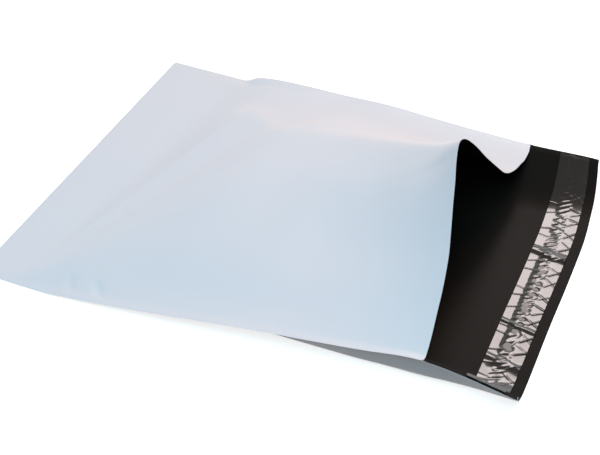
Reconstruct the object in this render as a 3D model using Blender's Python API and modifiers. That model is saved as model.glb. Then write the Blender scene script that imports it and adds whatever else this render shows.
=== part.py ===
"""Poly mailer bag, lying open on its back wall.

One web of film is folded at the bottom and sealed along both long edges. The back wall runs on past
the mouth as a closing flap, which carries a band of glue under a release liner. The bag has been
opened: its upper wall stands up in a ridge that starts as a point on the near edge, close to the
bottom fold, and ends as a high crest at the mouth.

Lengths are in metres. "Along" runs from the bottom fold to the mouth, "across" from the near edge to
the far edge, both measured on the flat film before it is opened.
"""

import bpy
import bmesh
import math
import numpy as np

# Driving sizes of the flat bag
BAG_WIDTH = 0.260
POCKET_LENGTH = 0.272
FLAP_LENGTH = 0.050
FILM_THICKNESS = 0.0003
WALL_GAP = 0.0003
SEAL_WIDTH = 0.0045
SEAL_BEAD = 0.0002
SEAL_FILL_WIDTH = 0.0034

# Closing strip on the flap
STRIP_TO_MOUTH = 0.0225
LINER_WIDTH = 0.0210
LINER_THICKNESS = 0.0002
GLUE_WIDTH = 0.0170
GLUE_THICKNESS = 0.0002
STRIP_END_MARGIN = 0.0015
SEAT_GAP = 0.0003

# Part of the bag that still lies flat beside the bottom fold
FLAT_AT_NEAR_EDGE = 0.026
FLAT_AT_FAR_EDGE = 0.055

# Lift of the two sealed edges off the table: (along, height)
NEAR_EDGE_LIFTS = ((0.060, 0.0026), (0.100, 0.0078), (0.150, 0.0149), (0.210, 0.0235))
NEAR_LIFT_AT_MOUTH = 0.0311
NEAR_LIFT_AT_FLAP_END = 0.0269
FAR_EDGE_LIFTS = ((0.070, 0.0057), (0.090, 0.0080), (0.130, 0.0089), (0.200, 0.0132))
FAR_LIFT_AT_MOUTH = 0.0181
FAR_LIFT_AT_FLAP_END = 0.0106

# How far the raised wall draws the two sealed edges in: (along, distance in)
NEAR_EDGE_INSETS = ((0.060, 0.0), (0.100, 0.0013), (0.180, 0.0048))
NEAR_INSET_AT_MOUTH = 0.0086
NEAR_INSET_AT_FLAP_END = 0.0047
FAR_EDGE_INSETS = ((0.130, 0.0002), (0.200, 0.0061))
FAR_INSET_AT_MOUTH = 0.0153
FAR_INSET_AT_FLAP_END = 0.0046

# Curl under each sealed edge: straight and steep beside the seal, then rounding down to the table
NEAR_CURL_AT_MIDDLE = 0.0314
NEAR_CURL_AT_MOUTH = 0.0449
NEAR_CURL_AT_FLAP_END = 0.0484
FAR_CURL_WIDTH = 0.050
CURL_MIDDLE = 0.150
CURL_STRAIGHT_SHARE = 0.42
SEAL_TILT_SHARE = 0.3

# Facet that faces the bottom fold. It rises from the valley fold, which crosses the bag slantwise.
VALLEY_INSET = 0.009
BAND_SLOPE = 0.33
BAND_END = 0.150
BAND_RISE = 1.0
VALLEY_ROUNDING = 0.005
CREASE_ROUNDING = 0.003
CREASE_ROUNDING_TO_HEIGHT = 0.3

# Shoulder, the upper end of the near slope: (along, across from the near edge, height). Up to its turn
# the ridge is the crease in which the near slope meets the facet.
SHOULDER_POINTS = (
    (0.050, 0.044, 0.0096),
    (0.070, 0.071, 0.0145),
    (0.095, 0.100, 0.0215),
    (0.113, 0.113, 0.0260),
    (0.130, 0.119, 0.0275),
    (0.145, 0.125, 0.0290),
    (0.173, 0.128, 0.0345),
    (0.205, 0.128, 0.0430),
    (0.235, 0.1205, 0.0555),
)
SHOULDER_AT_START = (0.012, 0.0020)
SHOULDER_AT_MOUTH = (0.104, 0.0735)

# Crest, from the turn of the ridge to the mouth: (along, across, height)
CREST_POINTS = (
    (0.100, 0.1720, 0.0255),
    (0.124, 0.1750, 0.0268),
    (0.145, 0.1780, 0.0290),
    (0.170, 0.1805, 0.0335),
    (0.195, 0.1755, 0.0420),
    (0.214, 0.1690, 0.0500),
    (0.230, 0.1620, 0.0580),
    (0.250, 0.1500, 0.0695),
)
CREST_AT_START = (0.165, 0.0210)
CREST_AT_MOUTH = (0.1333, 0.0852)
CREST_SET_BACK = 0.0031

# Soft hollow in the near slope: (along, across, depth), after a swelling with a depth below zero
HOLLOW_POINTS = (
    (0.050, 0.0160, 0.0),
    (0.085, 0.0440, -0.0012),
    (0.130, 0.0660, -0.0018),
    (0.193, 0.0800, 0.0020),
    (0.226, 0.0760, 0.0025),
)
HOLLOW_AT_START = (0.006, 0.0)
HOLLOW_AT_MOUTH = (0.061, 0.0)

# Foot of the far slope: (along, across, height)
FOOT_POINTS = (
    (0.076, 0.218, 0.0084),
    (0.100, 0.222, 0.0084),
    (0.124, 0.234, 0.0084),
    (0.150, 0.237, 0.0105),
    (0.180, 0.233, 0.0125),
    (0.210, 0.227, 0.0146),
)
FOOT_AT_START = (0.218, 0.0090)
FOOT_AT_MOUTH = (0.216, 0.0182)

# Rounding of these bends, at the bottom fold and at the mouth
HOLLOW_ROUNDINGS = (0.015, 0.015)
SHOULDER_ROUNDINGS = (0.005, 0.022)
CREST_ROUNDINGS = (0.006, 0.006)
FOOT_ROUNDINGS = (0.008, 0.015)
ROUNDING_TO_PLACE = 0.3
LEAST_FROM_SEAL = 0.003

# Fineness of the film's mesh
CELLS_ON_NEAR_CURL = 9
CELLS_ACROSS = 27
CELLS_ALONG_POCKET = 32
CELLS_ROUND_FOLD = 4
CELLS_MOUTH_TO_STRIP = 3
SMOOTH_UP_TO = math.radians(40.0)

# Worked out from the sizes above
FLAP_END = POCKET_LENGTH + FLAP_LENGTH
STACK = 2.0 * FILM_THICKNESS + WALL_GAP
FOLD_RADIUS = 0.5 * STACK
STEEPEST_STEP = 0.2
SMALL = 1e-6

MATERIALS = {
    "film_white": ((0.80, 0.84, 0.88), 0.34),
    "film_black": ((0.012, 0.012, 0.012), 0.28),
    "glue": ((0.10, 0.09, 0.08), 0.22),
    "liner": ((0.46, 0.42, 0.42), 0.15),
}


def clear_scene():
    for thing in list(bpy.data.objects):
        bpy.data.objects.remove(thing, do_unlink=True)


def new_collection(name):
    collection = bpy.data.collections.new(name)
    bpy.context.scene.collection.children.link(collection)
    return collection


def make_material(name):
    colour, roughness = MATERIALS[name]
    material = bpy.data.materials.new(name)
    material.use_nodes = True
    shader = material.node_tree.nodes["Principled BSDF"]
    shader.inputs["Base Color"].default_value = (*colour, 1.0)
    shader.inputs["Roughness"].default_value = roughness
    shader.inputs["Metallic"].default_value = 0.0
    return material


def smooth_path(points, at):
    """Height of a smooth line through (station, value) points, which never overshoots them."""
    stations = np.array([point[0] for point in points])
    values = np.array([point[1] for point in points])
    steps = np.diff(stations)
    slopes = np.diff(values) / steps
    tangents = np.zeros(len(points))
    tangents[0] = slopes[0]
    tangents[-1] = slopes[-1]
    for i in range(1, len(points) - 1):
        if slopes[i - 1] * slopes[i] > 0.0:
            before = 2.0 * steps[i] + steps[i - 1]
            after = steps[i] + 2.0 * steps[i - 1]
            tangents[i] = (before + after) / (before / slopes[i - 1] + after / slopes[i])
    at = np.clip(at, stations[0], stations[-1])
    cell = np.clip(np.searchsorted(stations, at, side="right") - 1, 0, len(points) - 2)
    t = (at - stations[cell]) / steps[cell]
    start = (1.0 + 2.0 * t) * (1.0 - t) ** 2 * values[cell]
    start_tangent = t * (1.0 - t) ** 2 * steps[cell] * tangents[cell]
    end = t * t * (3.0 - 2.0 * t) * values[cell + 1]
    end_tangent = t * t * (t - 1.0) * steps[cell] * tangents[cell + 1]
    return start + start_tangent + end + end_tangent


def near_edge_lift(along):
    points = ((0.0, 0.0), (FLAT_AT_NEAR_EDGE, 0.0), *NEAR_EDGE_LIFTS)
    points += ((POCKET_LENGTH, NEAR_LIFT_AT_MOUTH), (FLAP_END, NEAR_LIFT_AT_FLAP_END))
    return smooth_path(points, along)


def far_edge_lift(along):
    points = ((0.0, 0.0), (FLAT_AT_FAR_EDGE, 0.0), *FAR_EDGE_LIFTS)
    points += ((POCKET_LENGTH, FAR_LIFT_AT_MOUTH), (FLAP_END, FAR_LIFT_AT_FLAP_END))
    return smooth_path(points, along)


def near_edge_inset(along):
    points = ((0.0, 0.0), (FLAT_AT_NEAR_EDGE, 0.0), *NEAR_EDGE_INSETS)
    points += ((POCKET_LENGTH, NEAR_INSET_AT_MOUTH), (FLAP_END, NEAR_INSET_AT_FLAP_END))
    return smooth_path(points, along)


def far_edge_inset(along):
    points = ((0.0, 0.0), (FLAT_AT_FAR_EDGE, 0.0), *FAR_EDGE_INSETS)
    points += ((POCKET_LENGTH, FAR_INSET_AT_MOUTH), (FLAP_END, FAR_INSET_AT_FLAP_END))
    return smooth_path(points, along)


def near_curl_width(along):
    points = ((0.0, NEAR_CURL_AT_MIDDLE), (CURL_MIDDLE, NEAR_CURL_AT_MIDDLE))
    points += ((POCKET_LENGTH, NEAR_CURL_AT_MOUTH), (FLAP_END, NEAR_CURL_AT_FLAP_END))
    return smooth_path(points, along)


def line_across(start, points, at_mouth, along):
    """Place across and third value of a line that runs along the bag, from its points."""
    points = ((0.0, *start), (FLAT_AT_NEAR_EDGE, *start), *points, (POCKET_LENGTH, *at_mouth))
    place = smooth_path([(point[0], point[1]) for point in points], along)
    return place, smooth_path([(point[0], point[2]) for point in points], along)


def rounded_ramp(distance, rounding):
    """Zero before a fold and rising one for one after it, with the fold rounded."""
    return 0.5 * (distance + np.sqrt(distance * distance + rounding * rounding))


def inside_seals(across):
    """Distance across without the two sealed bands."""
    return np.clip(across, SEAL_WIDTH, BAG_WIDTH - SEAL_WIDTH)


def curl_slope(lift, width):
    """Slope of a curl beside its seal."""
    return 2.0 * lift / (width * (1.0 + CURL_STRAIGHT_SHARE))


def curl_height(lift, width, distance):
    """Height of a curl at a distance from its seal: a straight part, then an arc down to level."""
    share = np.clip(distance / width, 0.0, 1.0)
    slope = curl_slope(1.0, 1.0)
    rounded = 0.5 * slope * (1.0 - share) ** 2 / (1.0 - CURL_STRAIGHT_SHARE)
    return lift * np.where(share < CURL_STRAIGHT_SHARE, 1.0 - slope * share, rounded)


def near_seal_tilt(along):
    return SEAL_TILT_SHARE * curl_slope(near_edge_lift(along), near_curl_width(along))


def far_seal_tilt(along):
    return SEAL_TILT_SHARE * curl_slope(far_edge_lift(along), FAR_CURL_WIDTH)


def near_seal_height(along):
    """Height of the near seal's inner line."""
    return near_edge_lift(along) - near_seal_tilt(along) * SEAL_WIDTH


def far_seal_height(along):
    """Height of the far seal's inner line."""
    return far_edge_lift(along) - far_seal_tilt(along) * SEAL_WIDTH


def over_seals(along, across):
    """Extra height on the two sealed bands, which tilt a little with the curl beside them."""
    near = near_seal_tilt(along) * np.maximum(0.0, SEAL_WIDTH - across)
    far = far_seal_tilt(along) * np.maximum(0.0, across - BAG_WIDTH + SEAL_WIDTH)
    return near + far


def back_height(along, across):
    """Outer face of the back wall and flap: flat on the table, with both long edges curling up."""
    from_near = inside_seals(across) - SEAL_WIDTH
    from_far = BAG_WIDTH - 2.0 * SEAL_WIDTH - from_near
    near_curl = curl_height(near_seal_height(along), near_curl_width(along), from_near)
    far_curl = curl_height(far_seal_height(along), FAR_CURL_WIDTH, from_far)
    return near_curl + far_curl + over_seals(along, across)


def height_between(place, start, end):
    """Height at a place on the straight slope from one line to another."""
    share = (place - start[0]) / (end[0] - start[0])
    return start[1] + (end[1] - start[1]) * share


def bends(along):
    """Place across and height of every line where the upper wall bends, from near seal to far seal."""
    near = (SEAL_WIDTH, near_seal_height(along))
    far = (BAG_WIDTH - SEAL_WIDTH, far_seal_height(along))
    shoulder = line_across(SHOULDER_AT_START, SHOULDER_POINTS, SHOULDER_AT_MOUTH, along)
    crest = line_across(CREST_AT_START, CREST_POINTS, CREST_AT_MOUTH, along)
    foot = line_across(FOOT_AT_START, FOOT_POINTS, FOOT_AT_MOUTH, along)
    foot = (np.clip(foot[0], crest[0] + LEAST_FROM_SEAL, far[0] - LEAST_FROM_SEAL), foot[1])
    place, depth = line_across(HOLLOW_AT_START, HOLLOW_POINTS, HOLLOW_AT_MOUTH, along)
    place = np.maximum(place, near[0] + ROUNDING_TO_PLACE * (shoulder[0] - near[0]))
    hollow = (place, height_between(place, near, shoulder) - depth)
    return [near, hollow, shoulder, crest, foot, far]


def band_height(along, across):
    """Height of the facet that faces the bottom fold. Beyond its end it leaves the wall's other slopes."""
    share = (across - VALLEY_INSET) / (BAG_WIDTH - 2.0 * VALLEY_INSET)
    valley = FLAT_AT_NEAR_EDGE + (FLAT_AT_FAR_EDGE - FLAT_AT_NEAR_EDGE) * share
    band = BAND_SLOPE * rounded_ramp(along - valley, VALLEY_ROUNDING)
    return band + BAND_RISE * np.maximum(0.0, along - BAND_END)


def lower_of(first, second, rounding):
    """The lower of two heights, with the crease between them rounded."""
    return 0.5 * (first + second - np.sqrt((first - second) ** 2 + rounding ** 2))


def folded_section(along, across):
    """Height of the upper wall: straight slopes that meet in rounded bends, cut off by the facet."""
    extra = over_seals(along, across)
    across = inside_seals(across)
    band = band_height(along, across)
    crease_rounding = np.minimum(CREASE_ROUNDING, CREASE_ROUNDING_TO_HEIGHT * band)
    lines = bends(along)
    roundings = (HOLLOW_ROUNDINGS, SHOULDER_ROUNDINGS, CREST_ROUNDINGS, FOOT_ROUNDINGS)
    slopes = [(end[1] - start[1]) / (end[0] - start[0]) for start, end in zip(lines, lines[1:])]
    near_place, near_height = lines[0]
    far_place, far_height = lines[-1]

    def bent_line(place):
        height = near_height + slopes[0] * (place - near_place)
        for line, before, after, rounding in zip(lines[1:], slopes, slopes[1:], roundings):
            path = ((0.0, rounding[0]), (POCKET_LENGTH, rounding[1]))
            widest = ROUNDING_TO_PLACE * (line[0] - near_place)
            bend = rounded_ramp(place - line[0], np.minimum(smooth_path(path, along), widest))
            height = height + (after - before) * bend
        return height

    share = (across - near_place) / (far_place - near_place)
    near_error = bent_line(near_place) - near_height
    far_error = bent_line(far_place) - far_height
    section = bent_line(across) - near_error * (1.0 - share) - far_error * share
    return lower_of(section, band, crease_rounding) + extra


def plan_lengths(heights, stations, axis):
    """Lengths in plan of film that is inclined but not stretched, added up along one axis."""
    rises = np.diff(heights, axis=axis)
    shape = (-1, 1) if axis == 0 else (1, -1)
    steps = np.diff(stations).reshape(shape)
    level = np.sqrt(np.maximum(steps ** 2 - rises ** 2, (STEEPEST_STEP * steps) ** 2))
    level = np.concatenate((np.zeros_like(np.take(level, [0], axis=axis)), level), axis=axis)
    return np.cumsum(level, axis=axis)


def square_factor(heights, along, across):
    """Upright distance that makes a distance of one measured square to the inclined film."""
    rise_along, rise_across = np.gradient(heights, along, across)
    level = 1.0 - rise_along ** 2 - rise_across ** 2
    return 1.0 / np.sqrt(np.maximum(level, STEEPEST_STEP ** 2))


def stations_across():
    """Finer over the steep curl by the near seal than over the rest."""
    curl_end = SEAL_WIDTH + NEAR_CURL_AT_MOUTH
    curl = np.linspace(SEAL_WIDTH, curl_end, CELLS_ON_NEAR_CURL + 1)
    rest = np.linspace(curl_end, BAG_WIDTH - SEAL_WIDTH, CELLS_ACROSS + 1)
    return np.concatenate(([0.0], curl, rest[1:], [BAG_WIDTH]))


def stations_along_pocket():
    return np.linspace(0.0, POCKET_LENGTH, CELLS_ALONG_POCKET + 1)


def strip_stations(width):
    """Where a layer of the closing strip starts, has its middle and ends."""
    middle = POCKET_LENGTH + STRIP_TO_MOUTH + 0.5 * LINER_WIDTH
    return np.array([middle - 0.5 * width, middle, middle + 0.5 * width])


def stations_along_back():
    """The film has a row of points under each edge of the strip's layers, so that they lie alike."""
    before = np.linspace(POCKET_LENGTH, POCKET_LENGTH + STRIP_TO_MOUTH, CELLS_MOUTH_TO_STRIP + 1)
    layers = np.concatenate((strip_stations(GLUE_WIDTH), strip_stations(LINER_WIDTH)))
    flap = np.concatenate((before, layers, [FLAP_END]))
    rows = np.unique(np.round(np.concatenate((stations_along_pocket(), flap)), 7))
    return rows


class OpenedBag:
    """Points of the opened film, worked out once and read by the film, the seals and the strip."""

    def __init__(self):
        self.across = stations_across()
        self.pocket = stations_along_pocket()
        self.back = stations_along_back()
        rows_pocket = self.pocket[:, None]
        rows_back = self.back[:, None]
        columns = self.across[None, :]
        self.back_z = back_height(rows_back, columns)
        under = self.back_z[: len(self.pocket)]
        stack = STACK * square_factor(under, self.pocket, self.across)
        stack[:, 1] = stack[:, 0]
        stack[:, -2] = stack[:, -1]
        raised = np.maximum(folded_section(rows_pocket, columns), under)
        self.front_z = raised + stack
        self.front_x = plan_lengths(raised, self.pocket, 0) - self.set_back(raised)
        self.back_x = plan_lengths(self.back_z, self.back, 0)
        self.front_y = self.fit_between_seals(plan_lengths(raised, self.across, 1), self.pocket)
        self.back_y = self.fit_between_seals(plan_lengths(self.back_z, self.across, 1), self.back)

    def set_back(self, raised):
        """The crest leans back from the mouth, in step with its height over the two edges."""
        share = self.across / BAG_WIDTH
        edges = raised[:, :1] * (1.0 - share) + raised[:, -1:] * share
        over = (raised - edges) / (raised - edges).max()
        return CREST_SET_BACK * over * (self.pocket / POCKET_LENGTH)[:, None]

    @staticmethod
    def fit_between_seals(lengths, along):
        """Places across in plan, with the seals at their full width."""
        near = near_edge_inset(along)[:, None] - 0.5 * BAG_WIDTH
        far = 0.5 * BAG_WIDTH - far_edge_inset(along)[:, None]
        near_inner = near + SEAL_WIDTH * np.sqrt(1.0 - near_seal_tilt(along)[:, None] ** 2)
        far_inner = far - SEAL_WIDTH * np.sqrt(1.0 - far_seal_tilt(along)[:, None] ** 2)
        inner = lengths[:, 1:-1] - lengths[:, 1:2]
        inner = inner * (far_inner - near_inner) / inner[:, -1:]
        return np.concatenate((near, near_inner + inner, far), axis=1)

    def front_point(self, row, column):
        return (
            self.front_x[row, column],
            self.front_y[row, column],
            self.front_z[row, column],
        )

    def back_point(self, row, column):
        return (
            self.back_x[row, column],
            self.back_y[row, column],
            self.back_z[row, column],
        )


def object_from_bmesh(name, mesh_data, collection, materials):
    mesh = bpy.data.meshes.new(name)
    mesh_data.to_mesh(mesh)
    mesh_data.free()
    thing = bpy.data.objects.new(name, mesh)
    collection.objects.link(thing)
    for material in materials:
        mesh.materials.append(material)
    return thing


def moved_grid(rows, columns, point_at):
    """A grid of faces whose point in each row and column is put where point_at says."""
    mesh_data = bmesh.new()
    bmesh.ops.create_grid(mesh_data, x_segments=rows - 1, y_segments=columns - 1, size=1.0)
    for vertex in mesh_data.verts:
        row = round((vertex.co.x + 1.0) * 0.5 * (rows - 1))
        column = round((vertex.co.y + 1.0) * 0.5 * (columns - 1))
        vertex.co = point_at(row, column)
    return mesh_data


def give_thickness(thing, thickness, inner_material=0):
    wall = thing.modifiers.new("wall", "SOLIDIFY")
    wall.thickness = thickness
    wall.offset = -1.0
    wall.use_even_offset = True
    wall.material_offset = inner_material
    wall.material_offset_rim = 0
    return wall


def film_web(bag, collection, materials):
    """The whole web in one grid: mouth to bottom fold, round the fold, and back past the mouth."""
    pocket_rows = len(bag.pocket)
    fold_rows = CELLS_ROUND_FOLD - 1
    rows = pocket_rows + fold_rows + len(bag.back)
    columns = len(bag.across)

    def point_at(row, column):
        if row < pocket_rows:
            return bag.front_point(pocket_rows - 1 - row, column)
        if row < pocket_rows + fold_rows:
            turn = math.pi * (row - pocket_rows + 1) / CELLS_ROUND_FOLD
            x = -FOLD_RADIUS * math.sin(turn)
            z = FOLD_RADIUS + FOLD_RADIUS * math.cos(turn)
            return (x, bag.back_y[0, column], z)
        return bag.back_point(row - pocket_rows - fold_rows, column)

    mesh_data = moved_grid(rows, columns, point_at)
    bmesh.ops.reverse_faces(mesh_data, faces=mesh_data.faces)
    web = object_from_bmesh("bag_film", mesh_data, collection, materials)
    give_thickness(web, FILM_THICKNESS, inner_material=1)
    return web


def seal_strip(bag, side, collection, material):
    """Film melted together along one edge: it fills the gap there and ends in a fine bead."""
    column = 0 if side < 0 else len(bag.across) - 1
    sunk = 0.5 * FILM_THICKNESS
    into_fold = FOLD_RADIUS - FILM_THICKNESS + 0.5 * sunk
    # The strip's points lie half way between the film's, so that no corner meets a corner
    half_way = 0.5 * (bag.pocket[:-1] + bag.pocket[1:])
    stations = np.concatenate(([0.0], half_way, [POCKET_LENGTH - FILM_THICKNESS]))
    heights = (STACK - sunk) * square_factor(bag.back_z, bag.back, bag.across)[:, column]
    edge_x = np.interp(stations, bag.back, bag.back_x[:, column])
    edge_y = np.interp(stations, bag.back, bag.back_y[:, column])
    edge_z = np.interp(stations, bag.back, bag.back_z[:, column] + heights)
    edge_x[0] = -into_fold
    tilt = near_seal_tilt(stations) if side < 0 else far_seal_tilt(stations)
    level = np.sqrt(1.0 - tilt ** 2)

    def point_at(row, place):
        distance = SEAL_FILL_WIDTH if place == 1 else -SEAL_BEAD
        y = edge_y[row] - side * distance * level[row]
        return (edge_x[row], y, edge_z[row] - distance * tilt[row])

    mesh_data = moved_grid(len(stations), 2, point_at)
    if side > 0:
        bmesh.ops.reverse_faces(mesh_data, faces=mesh_data.faces)
    name = "near_seal" if side < 0 else "far_seal"
    strip = object_from_bmesh(name, mesh_data, collection, [material])
    give_thickness(strip, STACK - 2.0 * sunk)
    strip.hide_render = True
    strip.display_type = "WIRE"
    return strip


def join_solid(thing, other):
    union = thing.modifiers.new("join_" + other.name, "BOOLEAN")
    union.operation = "UNION"
    union.solver = "EXACT"
    union.object = other


def flap_layer(bag, name, width, bottom, thickness, collection, material):
    """A thin layer along the closing strip, at a given height above the flap's outer face."""
    start, _, end = strip_stations(width)
    rows = np.flatnonzero((bag.back > start - SMALL) & (bag.back < end + SMALL))
    columns = len(bag.across)

    def point_at(row, column):
        x, y, z = bag.back_point(rows[row], column)
        if column == 0:
            y = y + STRIP_END_MARGIN
        if column == columns - 1:
            y = y - STRIP_END_MARGIN
        return (x, y, z)

    mesh_data = moved_grid(len(rows), columns, point_at)
    mesh_data.normal_update()
    offsets = [vertex.normal * vertex.calc_shell_factor() for vertex in mesh_data.verts]
    for vertex, offset in zip(mesh_data.verts, offsets):
        vertex.co += offset * (bottom + thickness)
    layer = object_from_bmesh(name, mesh_data, collection, [material])
    give_thickness(layer, thickness)
    return layer


def shade_round(thing):
    thing.data.shade_smooth()
    thing.data.set_sharp_from_angle(angle=SMOOTH_UP_TO)


def stand_on_origin(things, reference):
    """Move the pieces together so that the bag's box is centred over the origin, on the table."""
    bpy.context.view_layer.update()
    graph = bpy.context.evaluated_depsgraph_get()
    mesh = reference.evaluated_get(graph).to_mesh()
    points = np.array([vertex.co for vertex in mesh.vertices])
    reference.evaluated_get(graph).to_mesh_clear()
    low = points.min(axis=0)
    high = points.max(axis=0)
    shift = np.array([-0.5 * (low[0] + high[0]), -0.5 * (low[1] + high[1]), -low[2]])
    for thing in things:
        thing.location = shift
    bpy.context.view_layer.update()


def build():
    clear_scene()
    parts = new_collection("poly_mailer_bag")
    helpers = new_collection("joining_solids")
    white = make_material("film_white")
    black = make_material("film_black")
    bag = OpenedBag()

    web = film_web(bag, parts, [white, black])
    seals = [seal_strip(bag, side, helpers, black) for side in (-1, 1)]
    for seal in seals:
        join_solid(web, seal)

    glue_bottom = FILM_THICKNESS + SEAT_GAP
    glue = flap_layer(
        bag, "adhesive_band", GLUE_WIDTH, glue_bottom, GLUE_THICKNESS, parts, make_material("glue")
    )
    liner_bottom = glue_bottom + GLUE_THICKNESS + SEAT_GAP
    liner = flap_layer(
        bag, "release_liner", LINER_WIDTH, liner_bottom, LINER_THICKNESS, parts, make_material("liner")
    )
    for thing in (web, glue, liner):
        shade_round(thing)
    stand_on_origin([web, glue, liner, *seals], web)


build()
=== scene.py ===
import math

import bmesh
import bpy
import numpy as np
from mathutils import Matrix, Vector


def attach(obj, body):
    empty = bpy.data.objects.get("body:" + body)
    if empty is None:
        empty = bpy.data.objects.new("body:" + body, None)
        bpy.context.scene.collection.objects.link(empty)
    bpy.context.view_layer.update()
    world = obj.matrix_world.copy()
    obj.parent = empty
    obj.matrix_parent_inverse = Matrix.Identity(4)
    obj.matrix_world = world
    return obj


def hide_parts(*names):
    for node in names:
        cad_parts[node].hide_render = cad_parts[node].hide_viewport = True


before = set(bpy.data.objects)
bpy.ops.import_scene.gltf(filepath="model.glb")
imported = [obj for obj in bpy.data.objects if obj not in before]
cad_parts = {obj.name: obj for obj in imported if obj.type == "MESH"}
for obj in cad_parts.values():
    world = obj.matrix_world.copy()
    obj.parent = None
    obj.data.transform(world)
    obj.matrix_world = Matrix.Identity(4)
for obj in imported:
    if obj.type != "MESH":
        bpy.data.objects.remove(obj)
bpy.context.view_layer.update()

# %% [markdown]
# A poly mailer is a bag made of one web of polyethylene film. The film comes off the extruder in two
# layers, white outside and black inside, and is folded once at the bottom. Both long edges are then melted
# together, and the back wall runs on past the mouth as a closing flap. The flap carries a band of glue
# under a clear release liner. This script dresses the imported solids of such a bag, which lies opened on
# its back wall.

MM = 0.001

# %% [markdown]
# Film bends but doesn't stretch. A sheet of it can't be drawn as a free surface: every patch has to keep
# the size that it had on the roll. So each point of the bag is named by its place on the flat film: how
# far along it lies from the bottom fold, and how far across from the near edge. The form then says only
# how high each point is lifted, and the place in plan follows from the length that is left over.

# %% Flat sizes, in millimetres
WIDTH = 260.0
POCKET = 272.0
FLAP_END = 322.0
FILM = 0.2
STACK = 0.9
FOLD_RADIUS = 0.5 * STACK
SEAL = 4.5
CENTRE_ALONG = 160.8


# %% [markdown]
# A few lifted stations are enough for each edge, if the line through them is smooth and never overshoots.
# A spline through the points would swing past them and put a wave in the film, so the tangents are
# limited here to what keeps each stretch rising or falling like its ends.

# %% A smooth line through stations
def line_through(points, at):
    stations = np.array([point[0] for point in points], float)
    values = np.array([point[1] for point in points], float)
    steps = np.diff(stations)
    slopes = np.diff(values) / steps
    tangents = np.zeros(len(points))
    tangents[0] = slopes[0]
    tangents[-1] = slopes[-1]
    for i in range(1, len(points) - 1):
        if slopes[i - 1] * slopes[i] > 0.0:
            before = 2.0 * steps[i] + steps[i - 1]
            after = steps[i] + 2.0 * steps[i - 1]
            tangents[i] = (before + after) / (before / slopes[i - 1] + after / slopes[i])
    at = np.clip(at, stations[0], stations[-1])
    cell = np.clip(np.searchsorted(stations, at, side="right") - 1, 0, len(points) - 2)
    t = (at - stations[cell]) / steps[cell]
    start = (1.0 + 2.0 * t) * (1.0 - t) ** 2 * values[cell]
    leaving = t * (1.0 - t) ** 2 * steps[cell] * tangents[cell]
    end = t * t * (3.0 - 2.0 * t) * values[cell + 1]
    arriving = t * t * (t - 1.0) * steps[cell] * tangents[cell + 1]
    return start + leaving + end + arriving


def ease(value):
    value = np.clip(value, 0.0, 1.0)
    return value * value * (3.0 - 2.0 * value)


# %% [markdown]
# The opened bag is described by four lines that run along it: the two sealed edges, the ridge of the
# raised wall and the foot of its far slope. Each is a list of stations along the film, in millimetres.
# The edges are lifted off the table and drawn in, because the raised wall needs its width. The ridge
# starts as a point on the near edge close to the bottom fold, and climbs to the crest at the mouth.

# %% The lines of the opened bag
NEAR_LIFT = (
    (0, 0), (25.8, 0), (45, 0.5), (60, 2.6), (80, 5.2), (100, 7.8), (125, 11.1), (150, 14.9),
    (180, 19.2), (210, 23.5), (240, 27.7), (272, 31.1), (322, 26.9),
)
FAR_LIFT = (
    (0, 0), (54.9, 0), (70, 5.7), (90, 8), (110, 8.7), (130, 8.9), (165, 11.3), (200, 13.2), (235, 16.2),
    (272, 18.1), (322, 10.6),
)
NEAR_INSET = ((0, 0), (60, 0), (100, 1.3), (140, 3.1), (180, 4.8), (230, 6), (272, 8.6), (322, 4.7))
FAR_INSET = ((0, 0), (90, 0), (130, 0), (165, 1.6), (200, 6.1), (235, 11.9), (272, 15.3), (322, 4.6))
NEAR_CURL = ((0, 31.4), (150, 31.4), (272, 44.9), (322, 48.4))
FAR_CURL = ((0, 50), (322, 50))
SHOULDER_ACROSS = (
    (0, 8), (25.8, 12), (50, 44), (70, 71), (95, 100), (113, 113), (130, 119), (145, 125), (173, 128),
    (205, 128), (235, 120.5), (272, 104),
)
SHOULDER_HEIGHT = (
    (0, 2), (25.8, 2), (50, 9.6), (70, 14.5), (95, 21.5), (113, 26), (130, 27.5), (145, 29), (173, 34.5),
    (205, 43), (235, 55.5), (272, 73.5),
)
CREST_ACROSS = (
    (0, 165), (100, 172), (124, 175), (133, 177), (170, 180.5), (195, 175.5), (214, 169), (230, 162),
    (245, 153.5), (258, 144), (272, 133.3),
)
CREST_HEIGHT = (
    (0, 20), (60, 22), (100, 25.5), (124, 26.8), (145, 29), (170, 33.5), (182, 37.3), (195, 42), (214, 50),
    (230, 58), (245, 66), (258, 75), (272, 85.2),
)
HOLLOW_ACROSS = (
    (0, 2), (26, 6), (50, 16), (85, 44), (120, 62), (150, 72), (193, 80), (226, 76), (272, 61),
)
HOLLOW_DEPTH = ((0, 0), (40, 0), (85, -1.2), (135, -1.8), (165, -0.5), (193, 3.2), (226, 3.6), (272, 0))
FOOT_INSET = (
    (0, 42), (76, 42), (100, 38), (124, 26), (150, 23), (180, 27), (210, 33), (240, 38), (272, 44),
)
FOOT_HEIGHT = ((0, 9), (76, 8.4), (124, 8.4), (150, 10.5), (180, 12.5), (210, 14.6), (240, 16.7), (272, 18.2))
VALLEY_ALONG = ((9, 25.8), (251, 54.9))
BAND_SLOPE = 0.33
BAND_END = 150.0
BAND_RISE = 1.0
SHOULDER_ROUNDING = ((0, 4), (110, 4), (145, 6), (205, 8), (235, 13), (272, 22))
CREST_ROUNDING = ((0, 6), (150, 7), (272, 6))
FOOT_ROUNDING = ((0, 8), (60, 8), (120, 15), (272, 15))
HOLLOW_ROUNDING = ((0, 15), (272, 15))
CREST_SET_BACK = 3.1
CURL_STRAIGHT = 0.42
SEAL_TILT = 0.3


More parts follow.
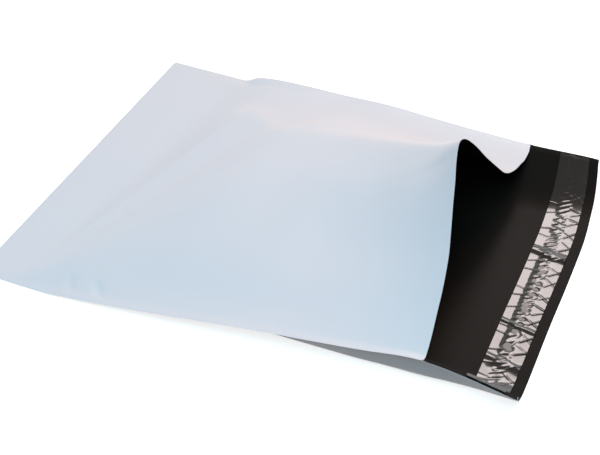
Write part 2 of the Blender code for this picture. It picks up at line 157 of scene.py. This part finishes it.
# %% [markdown]
# Each long edge curls up off the table. Film that is pushed in from its edge stands nearly straight
# beside the seal and rounds down to the table below, so the curl is a straight part and then an arc. Near
# the mouth it leans out far enough to show the outer face of the back wall under the seal.

# %% Back wall and flap
def inside_seals(across):
    return np.clip(across, SEAL, WIDTH - SEAL)


def curl(lift, width, distance):
    share = np.clip(distance / width, 0.0, 1.0)
    slope = 2.0 / (1.0 + CURL_STRAIGHT)
    rounded = 0.5 * slope * (1.0 - share) ** 2 / (1.0 - CURL_STRAIGHT)
    return lift * np.where(share < CURL_STRAIGHT, 1.0 - slope * share, rounded)


def seal_tilts(along):
    share = 2.0 * SEAL_TILT / (1.0 + CURL_STRAIGHT)
    near = share * line_through(NEAR_LIFT, along) / line_through(NEAR_CURL, along)
    far = share * line_through(FAR_LIFT, along) / line_through(FAR_CURL, along)
    return near, far


def seal_heights(along):
    near, far = seal_tilts(along)
    return line_through(NEAR_LIFT, along) - near * SEAL, line_through(FAR_LIFT, along) - far * SEAL


def over_seals(along, across):
    near, far = seal_tilts(along)
    return near * np.maximum(0.0, SEAL - across) + far * np.maximum(0.0, across - WIDTH + SEAL)


def back_height(along, across):
    from_near = inside_seals(across) - SEAL
    from_far = WIDTH - 2.0 * SEAL - from_near
    near, far = seal_heights(along)
    height = curl(near, line_through(NEAR_CURL, along), from_near)
    height = height + curl(far, line_through(FAR_CURL, along), from_far)
    return height + over_seals(along, across)


# %% [markdown]
# Across the bag the upper wall is three slopes: from the near seal up to the ridge, from the ridge down to
# the foot, and from the foot to the far seal. Film folds softly, so the slopes meet in rounded bends.

# %% Upper wall
def rounded_ramp(distance, rounding):
    return 0.5 * (distance + np.sqrt(distance * distance + rounding * rounding))


def height_between(place, start, end):
    share = (place - start[0]) / (end[0] - start[0])
    return start[1] + (end[1] - start[1]) * share


def bends(along):
    """Place across, height and rounding of each line where the upper wall bends, near seal to far seal."""
    near_height, far_height = seal_heights(along)
    near = (SEAL, near_height, 0.0)
    far = (WIDTH - SEAL, far_height, 0.0)
    place = np.maximum(line_through(SHOULDER_ACROSS, along), SEAL + 3.0)
    shoulder = (place, line_through(SHOULDER_HEIGHT, along), line_through(SHOULDER_ROUNDING, along))
    place = np.clip(WIDTH - line_through(FOOT_INSET, along), shoulder[0] + 8.0, WIDTH - SEAL - 3.0)
    foot = (place, line_through(FOOT_HEIGHT, along), line_through(FOOT_ROUNDING, along))
    place = np.clip(line_through(CREST_ACROSS, along), shoulder[0] + 4.0, foot[0] - 4.0)
    crest = (place, line_through(CREST_HEIGHT, along), line_through(CREST_ROUNDING, along))
    place = np.clip(line_through(HOLLOW_ACROSS, along), SEAL + 0.3 * (shoulder[0] - SEAL), 0.8 * shoulder[0])
    height = height_between(place, near, shoulder) - line_through(HOLLOW_DEPTH, along)
    hollow = (place, height, line_through(HOLLOW_ROUNDING, along))
    return [near, hollow, shoulder, crest, foot, far]


def band_height(along, across):
    """The facet that faces the bottom fold, and rises from the valley fold that crosses the bag."""
    (near, near_along), (far, far_along) = VALLEY_ALONG
    valley = near_along + (far_along - near_along) * (across - near) / (far - near)
    return BAND_SLOPE * rounded_ramp(along - valley, 5.0) + BAND_RISE * np.maximum(0.0, along - BAND_END)


def lower_of(first, second, rounding):
    return 0.5 * (first + second - np.sqrt((first - second) ** 2 + rounding ** 2))


def ridge_line(distance, height, width):
    return height / (1.0 + (distance / width) ** 2)


def small_folds(along, across):
    """Folds too small to name a slope: by the near seam, and in a fan over the facet."""
    by_seam = np.minimum(across / 18.0, ease((48.0 - across) / 30.0))
    height = -1.0 * by_seam * ease((along - 60.0) / 50.0) * ease((240.0 - along) / 60.0)
    for place, depth, lean in ((81.0, 2.2, -0.6), (62.0, 1.5, -0.5)):
        reach = np.exp(-((across - 9.0) / 7.0) ** 2)
        height = height - depth * ridge_line(along - place - lean * across, 1.0, 1.5) * reach
    fan = (along - 24.0) / np.maximum(across, 1.0)
    within = ease((fan - 0.13) / 0.10) * ease((0.70 - fan) / 0.12) * ease((225.0 - across) / 30.0)
    swell = ridge_line(fan - 0.28, 1.0, 0.045) - 0.8 * ridge_line(fan - 0.44, 1.0, 0.05)
    swell = swell + 0.5 * ridge_line(fan - 0.56, 1.0, 0.035)
    return height + 0.016 * across * swell * within


def front_height(along, across):
    extra = over_seals(along, across)
    across = inside_seals(across)
    band = band_height(along, across)
    lines = bends(along)
    near, near_height, _ = lines[0]
    far, far_height, _ = lines[-1]
    slopes = [(end[1] - start[1]) / (end[0] - start[0]) for start, end in zip(lines, lines[1:])]

    def bent_line(place):
        height = near_height + slopes[0] * (place - near)
        for line, before, after in zip(lines[1:], slopes, slopes[1:]):
            rounding = np.minimum(line[2], 0.3 * (line[0] - near))
            height = height + (after - before) * rounded_ramp(place - line[0], rounding)
        return height

    share = (across - near) / (far - near)
    near_error = bent_line(near) - near_height
    far_error = bent_line(far) - far_height
    section = bent_line(across) - near_error * (1.0 - share) - far_error * share
    return lower_of(section, band, np.minimum(1.6, 0.3 * band)) + extra


# %% [markdown]
# Where the film rises, less of its length is left in plan. Adding up those shorter steps gives each
# point's place on the table. The mouth's edge and the flap's end are free, so they wander by a millimetre
# or so from what the slopes alone would give, and those small pulls are added last.

# %% From heights to places
MOUTH_PULLS = (
    (0, 0, 0, 0), (25, 0, -0.2, -0.9), (45, 0.6, -0.2, 0), (60, 0.8, -0.2, 0.6), (75, 0.1, -0.2, 0.8),
    (90, -0.9, -0.2, 0.9), (105, -1.8, 0, 0.8), (115, -2.6, 0.1, 0.5), (125, -2.9, 0.2, 0.5),
    (132, -3.2, 0.1, 1.1), (145, -3.8, -0.2, 0.2), (165, -4.3, -0.5, -0.3), (178, -3.4, -0.5, 0),
    (193, -1.5, -0.5, 0.2), (205, -1.1, -0.1, 1.7), (216, -0.8, 0.2, 3.1), (228, -0.2, 0, 3.1),
    (240, 0.5, -0.1, 1.4), (260, 0, 0, 0),
)
FLAP_PULLS = (
    (0, 2.1, 0.7, 0.7), (30, -1.2, -0.4, -0.3), (65, -0.7, -0.2, 0.1), (100, -0.3, -0.1, 0),
    (140, 0.7, 0, 0), (180, 1.2, 0.3, 0), (220, -1, 0.7, 0), (245, -3.3, 0.6, 0.4),
    (260, -4.7, 0.1, 2.4),
)
MOUTH_REACH = 80.0


def lengths_in_plan(heights, stations, axis):
    rises = np.diff(heights, axis=axis)
    steps = np.diff(stations).reshape((-1, 1) if axis == 0 else (1, -1))
    level = np.sqrt(np.maximum(steps ** 2 - rises ** 2, (0.2 * steps) ** 2))
    start = np.zeros_like(np.take(level, [0], axis=axis))
    return np.cumsum(np.concatenate((start, level), axis=axis), axis=axis)


def between_seals(plan, along, across):
    near_tilt, far_tilt = seal_tilts(along)
    across = across[None, :]

    def plan_at(place):
        column = np.abs(across[0] - place).argmin()
        return plan[:, column: column + 1]

    near = line_through(NEAR_INSET, along)[:, None] - 0.5 * WIDTH
    far = 0.5 * WIDTH - line_through(FAR_INSET, along)[:, None]
    near_inner = near + SEAL * np.sqrt(1.0 - near_tilt[:, None] ** 2)
    far_inner = far - SEAL * np.sqrt(1.0 - far_tilt[:, None] ** 2)
    inner = plan - plan_at(SEAL)
    inner = near_inner + inner * (far_inner - near_inner) / (plan_at(WIDTH - SEAL) - plan_at(SEAL))
    in_near = near + across * np.sqrt(1.0 - near_tilt[:, None] ** 2)
    in_far = far - (WIDTH - across) * np.sqrt(1.0 - far_tilt[:, None] ** 2)
    return np.where(across < SEAL, in_near, np.where(across > WIDTH - SEAL, in_far, inner))


def pulled(points, pulls, across, share):
    for axis in range(3):
        amounts = line_through([(pull[0], pull[1 + axis]) for pull in pulls], across)
        points[..., axis] += share[:, None] * amounts[None, :]
    return points


def set_back(heights, along, across):
    share = across / WIDTH
    edges = heights[:, :1] * (1.0 - share) + heights[:, -1:] * share
    over = (heights - edges) / (heights - edges).max()
    return CREST_SET_BACK * over * (along / POCKET)[:, None]


def back_points(along, across):
    heights = back_height(along[:, None], across[None, :])
    x = lengths_in_plan(heights, along, 0)
    y = between_seals(lengths_in_plan(heights, across, 1), along, across)
    share = ease((along - POCKET + 30.0) / (FLAP_END - POCKET + 30.0)) ** 2
    points = pulled(np.stack((x, y, heights), axis=-1), FLAP_PULLS, across, share)
    points[..., 2] = np.maximum(points[..., 2], 0.0)
    return points


def front_points(along, across):
    under = back_height(along[:, None], across[None, :])
    raised = np.maximum(front_height(along[:, None], across[None, :]), under)
    rise_along, rise_across = np.gradient(under, along, across)
    square = 1.0 / np.sqrt(np.maximum(1.0 - rise_along ** 2 - rise_across ** 2, 0.04))
    x = lengths_in_plan(raised, along, 0) - set_back(raised, along, across)
    y = between_seals(lengths_in_plan(raised, across, 1), along, across)
    share = ease((along - POCKET + MOUTH_REACH) / MOUTH_REACH)
    folded = front_height(along[:, None], across[None, :]) + small_folds(along[:, None], across[None, :])
    height = np.maximum(folded + STACK, under + STACK * square)
    points = np.stack((x, y, height), axis=-1)
    return pulled(points, MOUTH_PULLS, across, share)


# %% [markdown]
# The bag is one web, so it is modelled as one grid: from the mouth down the upper wall, round the bottom
# fold, and back along the back wall to the end of the flap. A created grid is bent into place point by
# point. Two loose sheets could be laid on each other instead, but then the fold would be a cut. At the
# seals the two walls share their last row of points, which is what melting does to them.

# %% Grid of the web
BETWEEN_SEALS = np.linspace(SEAL, WIDTH - SEAL, 121)
ACROSS = np.concatenate(([0.0, 0.5 * SEAL], BETWEEN_SEALS, [WIDTH - 0.5 * SEAL, WIDTH]))
ALONG_FRONT = np.linspace(0.0, POCKET, 141)
ALONG_BACK = np.concatenate((ALONG_FRONT, np.linspace(POCKET, FLAP_END, 27)[1:]))
ROUND_FOLD = 6
WELD_DISTANCE = 0.02


def bent_grid(points):
    rows, columns = points.shape[:2]
    mesh_data = bmesh.new()
    bmesh.ops.create_grid(mesh_data, x_segments=rows - 1, y_segments=columns - 1, size=1.0)
    for vertex in mesh_data.verts:
        row = round((vertex.co.x + 1.0) * 0.5 * (rows - 1))
        column = round((vertex.co.y + 1.0) * 0.5 * (columns - 1))
        vertex.co = points[row, column] * MM
    return mesh_data


def piece_from(mesh_data, name, materials):
    mesh = bpy.data.meshes.new(name)
    mesh_data.to_mesh(mesh)
    mesh_data.free()
    mesh.shade_smooth()
    for material in materials:
        mesh.materials.append(material)
    piece = bpy.data.objects.new(name, mesh)
    bpy.context.scene.collection.objects.link(piece)
    return piece


front = front_points(ALONG_FRONT, ACROSS)
back = back_points(ALONG_BACK, ACROSS)
turns = np.pi * np.arange(1, ROUND_FOLD) / ROUND_FOLD
fold = np.stack([
    np.stack((
        np.full(len(ACROSS), -FOLD_RADIUS * np.sin(turn)),
        back[0, :, 1],
        np.full(len(ACROSS), FOLD_RADIUS + FOLD_RADIUS * np.cos(turn)),
    ), axis=-1)
    for turn in turns
])
for column in (0, -1):
    melted = 0.5 * (front[:, column] + back[: len(front), column])
    front[:, column] = melted
    back[: len(front), column] = melted
    fold[:, column] = melted[0]
web = np.concatenate((front[::-1], fold, back))
web[..., 0] -= CENTRE_ALONG
print("web of", web.shape[0], "rows and", web.shape[1], "columns")


# %% [markdown]
# Co-extruded film is opaque and has a soft gloss. The white is faintly blue. The black inner layer is
# glossier than it looks, and shows broad dim reflections of a pale room.

# %% Film finishes
def plain_finish(name, colour, roughness, gloss=0.5, coat=0.0):
    material = bpy.data.materials.new(name)
    material.use_nodes = True
    shader = material.node_tree.nodes["Principled BSDF"]
    shader.inputs["Base Color"].default_value = (*colour, 1.0)
    shader.inputs["Roughness"].default_value = roughness
    shader.inputs["Specular IOR Level"].default_value = gloss
    shader.inputs["Coat Weight"].default_value = coat
    return material


white_film = plain_finish("white_film", (0.685, 0.70, 0.775), 0.40)
black_film = plain_finish("black_film", (0.0125, 0.0105, 0.0095), 0.34, 0.03)
glue_finish = plain_finish("tacky_glue", (0.02, 0.018, 0.016), 0.2)
liner_finish = plain_finish("clear_liner", (0.02, 0.018, 0.018), 0.17, 0.5, 0.8)


# %% [markdown]
# Solidify gives the web its thickness and paints the inner face black. It works inwards from the white
# face, so that the outside keeps its size.

# %% The film
def settle(piece, sharp_angle):
    """Gives the piece its thickness for good, and sharp edges where its faces meet at a larger angle."""
    graph = bpy.context.evaluated_depsgraph_get()
    mesh = bpy.data.meshes.new_from_object(piece.evaluated_get(graph))
    piece.modifiers.clear()
    piece.data = mesh
    mesh.shade_smooth()
    mesh.set_sharp_from_angle(angle=sharp_angle)


film_mesh = bent_grid(web)
bmesh.ops.reverse_faces(film_mesh, faces=film_mesh.faces)
bmesh.ops.remove_doubles(film_mesh, verts=film_mesh.verts, dist=WELD_DISTANCE * MM)
film = piece_from(film_mesh, "mailer_film", [white_film, black_film])
wall = film.modifiers.new("wall", "SOLIDIFY")
wall.thickness = FILM * MM
wall.offset = -1.0
wall.use_even_offset = True
wall.material_offset = 1
wall.material_offset_rim = 0
settle(film, math.radians(35.0))
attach(film, "root")
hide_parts("bag_film")
print("film faces with their thickness:", len(film.data.polygons))

# %% [markdown]
# The closing strip is two layers on the flap: a band of clear glue, and a release liner that is a little
# wider and covers it. Both are laid on the flap's own points, so that they follow its curve. A flat strip
# that is moved onto the flap would cut through it where the flap's ends curl up. Each layer is a grid whose
# upper and lower faces are joined round the edge, so that its cut edges can be seen.

# %% Points of a layer on the flap
STRIP_START = POCKET + 22.5
LINER_WIDTH = 21.0
GLUE_WIDTH = 17.0
END_MARGIN = 1.5


def strip_cells(width, cells_along, cells_across):
    middle = STRIP_START + 0.5 * LINER_WIDTH
    along = np.linspace(middle - 0.5 * width, middle + 0.5 * width, cells_along + 1)
    return along, np.linspace(END_MARGIN, WIDTH - END_MARGIN, cells_across + 1)


def layer_points(along, across, lift):
    """Places on the flap's black face, raised along its normal."""
    rows = np.concatenate((ALONG_BACK[ALONG_BACK < along[0] - 0.5], along, [FLAP_END]))
    columns = np.unique(np.concatenate((ACROSS, across)))
    points = back_points(rows, columns)
    kept_rows = np.searchsorted(rows, along)
    kept_columns = np.searchsorted(columns, across)
    normal = np.cross(np.gradient(points, axis=0), np.gradient(points, axis=1))
    normal /= np.linalg.norm(normal, axis=-1, keepdims=True)
    points = points[kept_rows][:, kept_columns]
    normal = normal[kept_rows][:, kept_columns]
    raised = points + normal * np.broadcast_to(lift, (len(along), len(across)))[..., None]
    raised[..., 0] -= CENTRE_ALONG
    return raised


def layer(name, along, across, lift, thickness, finish):
    piece = piece_from(bent_grid(layer_points(along, across, lift)), name, [finish])
    wall = piece.modifiers.new("wall", "SOLIDIFY")
    wall.thickness = thickness * MM
    wall.offset = -1.0
    settle(piece, math.radians(70.0))
    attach(piece, "root")
    return piece


# %% Glue band
along, across = strip_cells(GLUE_WIDTH, 12, 130)
glue = layer("glue_band", along, across, FILM + 0.25, 0.15, glue_finish)
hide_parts("adhesive_band")

# %% [markdown]
# The liner is a thin stiff film. It was pressed on while the flap was pulled tight, and when the flap
# relaxed, the liner was left too long for it. It took up the extra length in small sharp ridges that cross
# the strip. Towards the mouth they are few and straight, and the film between them lies flat enough to
# mirror a lamp. Towards the flap's edge they are closer and lean to and fro. Along the middle the film has
# let go of the glue and sags in a wavy trough. Three broader folds part the strip into lengths. A noise
# texture could stand for all this, but its bumps have no direction, and film only folds along lines.

# %% Crinkles of the liner
def band_of(place, middle, half):
    return ease(1.4 - 1.4 * np.abs(place - middle) / half)


def crinkles(along, across):
    u = (along - STRIP_START)[:, None]
    v = across[None, :]
    inner = band_of(u, 2.0, 7.5)
    outer = band_of(u, 18.0, 7.0)
    centre = band_of(u, 10.0, 5.5)
    height = np.zeros((len(along), len(across)))
    for i in range(19):
        place = 12.0 + 12.2 * i + 3.0 * math.sin(2.4 * i)
        lean = 0.35 * math.sin(1.7 * i)
        height += inner * ridge_line(v - place - lean * u, 0.16 + 0.05 * math.sin(3.1 * i), 0.45)
    for i in range(38):
        place = 8.0 + 6.3 * i + 1.7 * math.sin(1.9 * i)
        lean = 0.8 * math.sin(math.pi * (i + 0.5)) + 0.25 * math.sin(2.3 * i)
        height += outer * ridge_line(v - place - lean * (u - 15.0), 0.20 + 0.06 * math.sin(2.7 * i), 0.55)
    wave = np.sin(0.71 * v + 2.6 * np.sin(0.19 * v) + 0.5 * u)
    wave = wave + 0.7 * np.sin(1.33 * v - 0.8 * u + 3.0 * np.sin(0.11 * v))
    sag = 0.14 + 0.34 * ease((v - 60.0) / 30.0) * ease((172.0 - v) / 25.0)
    height += centre * (0.11 * wave - sag)
    for place, tall, half in ((63.0, 0.5, 2.6), (95.5, 0.45, 1.8), (166.0, 0.8, 3.2)):
        height += tall * np.exp(-((v - place + 0.3 * (u - 10.0)) / half) ** 2)
    dent = np.exp(-((v - 77.0) / 3.2) ** 2 - ((u - 9.0) / 3.0) ** 2)
    dent += np.exp(-((v - 58.0) / 2.6) ** 2 - ((u - 6.0) / 3.0) ** 2)
    return height - 0.35 * dent


# %% Release liner
along, across = strip_cells(LINER_WIDTH, 42, 900)
liner = layer("liner_film", along, across, FILM + 0.75 + crinkles(along, across), 0.08, liner_finish)
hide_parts("release_liner")
print("liner faces before its thickness:", len(liner.data.polygons))

# %% [markdown]
# The bag lies on a white floor in a pale room. Two broad lamps model the film: a warm one from beyond the
# far edge, and a cool one from the right of the near edge. So the slopes that face the viewer turn light
# blue, and the facet that faces the bottom fold turns a neutral grey, as white film does under a window
# and a ceiling lamp. The floor is seen as white, but throws back only as much light as a pale table, or
# the raised near edge would have no dark underside.

# %% Levels of light
FLOOR_GLOW = 0.75
FLOOR_BOUNCE = (0.10, 0.045, 0.02)
ROOM_COLOUR = (0.98, 0.95, 1.0, 1.0)
ROOM_STRENGTH = 0.22
WINDOW_POWER = 21.5
WINDOW_COLOUR = (0.53, 0.89, 1.0)
WARM_POWER = 15.5
WARM_COLOUR = (1.0, 0.64, 0.46)
GLEAM_POWER = 5.5
GLEAM_COLOUR = (1.0, 0.88, 0.86)


# %% Floor
def seen_as(tree, seen, otherwise):
    """Mixes two shaders, so that the first is for rays that come from the camera, glass or gloss."""
    rays = tree.nodes.new("ShaderNodeLightPath")
    either = tree.nodes.new("ShaderNodeMath")
    either.operation = "MAXIMUM"
    tree.links.new(rays.outputs["Is Camera Ray"], either.inputs[0])
    tree.links.new(rays.outputs["Is Glossy Ray"], either.inputs[1])
    any_of = tree.nodes.new("ShaderNodeMath")
    any_of.operation = "MAXIMUM"
    tree.links.new(either.outputs[0], any_of.inputs[0])
    tree.links.new(rays.outputs["Is Transmission Ray"], any_of.inputs[1])
    mix = tree.nodes.new("ShaderNodeMixShader")
    tree.links.new(any_of.outputs[0], mix.inputs["Fac"])
    tree.links.new(otherwise, mix.inputs[1])
    tree.links.new(seen, mix.inputs[2])
    return mix.outputs[0]


def matt(tree, colour):
    shader = tree.nodes.new("ShaderNodeBsdfDiffuse")
    shader.inputs["Color"].default_value = (*colour, 1.0)
    return shader.outputs[0]


floor_mesh = bmesh.new()
bmesh.ops.create_grid(floor_mesh, x_segments=1, y_segments=1, size=6.0)
floor_finish = bpy.data.materials.new("white_floor")
floor_finish.use_nodes = True
tree = floor_finish.node_tree
tree.nodes.remove(tree.nodes["Principled BSDF"])
glow = tree.nodes.new("ShaderNodeEmission")
glow.inputs["Color"].default_value = (1.0, 1.0, 1.0, 1.0)
glow.inputs["Strength"].default_value = FLOOR_GLOW
both = tree.nodes.new("ShaderNodeAddShader")
tree.links.new(matt(tree, (0.8, 0.8, 0.8)), both.inputs[0])
tree.links.new(glow.outputs[0], both.inputs[1])
floor_shader = seen_as(tree, both.outputs[0], matt(tree, FLOOR_BOUNCE))
tree.links.new(floor_shader, tree.nodes["Material Output"].inputs["Surface"])
floor = piece_from(floor_mesh, "floor", [floor_finish])


# %% World and lamps
world = bpy.data.worlds.new("room")
bpy.context.scene.world = world
world.use_nodes = True
tree = world.node_tree
backdrop = tree.nodes.new("ShaderNodeBackground")
direction = tree.nodes.new("ShaderNodeTexCoord")
upward = tree.nodes.new("ShaderNodeSeparateXYZ")
darkening = tree.nodes.new("ShaderNodeValToRGB")
darkening.color_ramp.elements[0].position = 0.40
darkening.color_ramp.elements[0].color = (1.0, 1.0, 1.0, 1.0)
darkening.color_ramp.elements[1].position = 0.85
darkening.color_ramp.elements[1].color = (0.22, 0.19, 0.16, 1.0)
tree.links.new(direction.outputs["Generated"], upward.inputs[0])
tree.links.new(upward.outputs["Z"], darkening.inputs["Fac"])
tree.links.new(darkening.outputs["Color"], backdrop.inputs["Color"])
room = tree.nodes["Background"]
room.inputs["Color"].default_value = ROOM_COLOUR
room.inputs["Strength"].default_value = ROOM_STRENGTH
world_shader = seen_as(tree, backdrop.outputs[0], room.outputs[0])
tree.links.new(world_shader, tree.nodes["World Output"].inputs["Surface"])


def soft_lamp(name, azimuth, elevation, distance, size, power, colour):
    """A disk lamp that looks at the bag. Azimuth 0 is beyond the mouth, and 90 beyond the far edge."""
    lamp = bpy.data.lights.new(name, "AREA")
    lamp.shape = "DISK"
    lamp.size = size
    lamp.energy = power
    lamp.color = colour
    thing = bpy.data.objects.new(name, lamp)
    bpy.context.scene.collection.objects.link(thing)
    around = math.radians(azimuth)
    up = math.radians(elevation)
    away = Vector((math.cos(around) * math.cos(up), math.sin(around) * math.cos(up), math.sin(up)))
    thing.location = away * distance
    thing.rotation_mode = "QUATERNION"
    thing.rotation_quaternion = away.to_track_quat("Z", "Y")
    return thing


soft_lamp("window", -88.0, 56.0, 1.8, 0.9, WINDOW_POWER, WINDOW_COLOUR)
warm_lamp = soft_lamp("warm_lamp", 85.0, 50.0, 1.8, 0.9, WARM_POWER, WARM_COLOUR)
warm_lamp.visible_glossy = False
soft_lamp("gleam_lamp", 97.0, 41.0, 1.8, 0.6, GLEAM_POWER, GLEAM_COLOUR)

# %% [markdown]
# The photograph looks down at about forty degrees, from beyond the near edge and a little to the right.
# A lens of this length keeps the flap from looking larger than it is.

# %% Camera
IMAGE_WIDTH = 600.0
FOCAL = 1259.5
AZIMUTH = math.radians(20.295)
ELEVATION = math.radians(39.527)
ROLL = math.radians(3.080)
DISTANCE = 779.3
TARGET = (160.48, -20.17, 0.0)
CENTRE_SHIFT = (-0.18, 11.28)

backward = Vector((
    math.sin(AZIMUTH) * math.cos(ELEVATION), -math.cos(AZIMUTH) * math.cos(ELEVATION), math.sin(ELEVATION)
))
level_right = (-backward).cross(Vector((0, 0, 1))).normalized()
level_up = level_right.cross(-backward)
right = math.cos(ROLL) * level_right + math.sin(ROLL) * level_up
up = -math.sin(ROLL) * level_right + math.cos(ROLL) * level_up
place = (Vector(TARGET) + DISTANCE * backward - Vector((CENTRE_ALONG, 0, 0))) * MM
camera_data = bpy.data.cameras.new("camera")
camera_data.sensor_width = 36.0
camera_data.lens = FOCAL * camera_data.sensor_width / IMAGE_WIDTH
camera_data.shift_x = -CENTRE_SHIFT[0] / IMAGE_WIDTH
camera_data.shift_y = CENTRE_SHIFT[1] / IMAGE_WIDTH
camera = bpy.data.objects.new("camera", camera_data)
bpy.context.scene.collection.objects.link(camera)
turn = Matrix((right, up, backward)).transposed().to_4x4()
camera.matrix_world = Matrix.Translation(place) @ turn
bpy.context.scene.camera = camera
bpy.context.scene.view_settings.view_transform = "Standard"
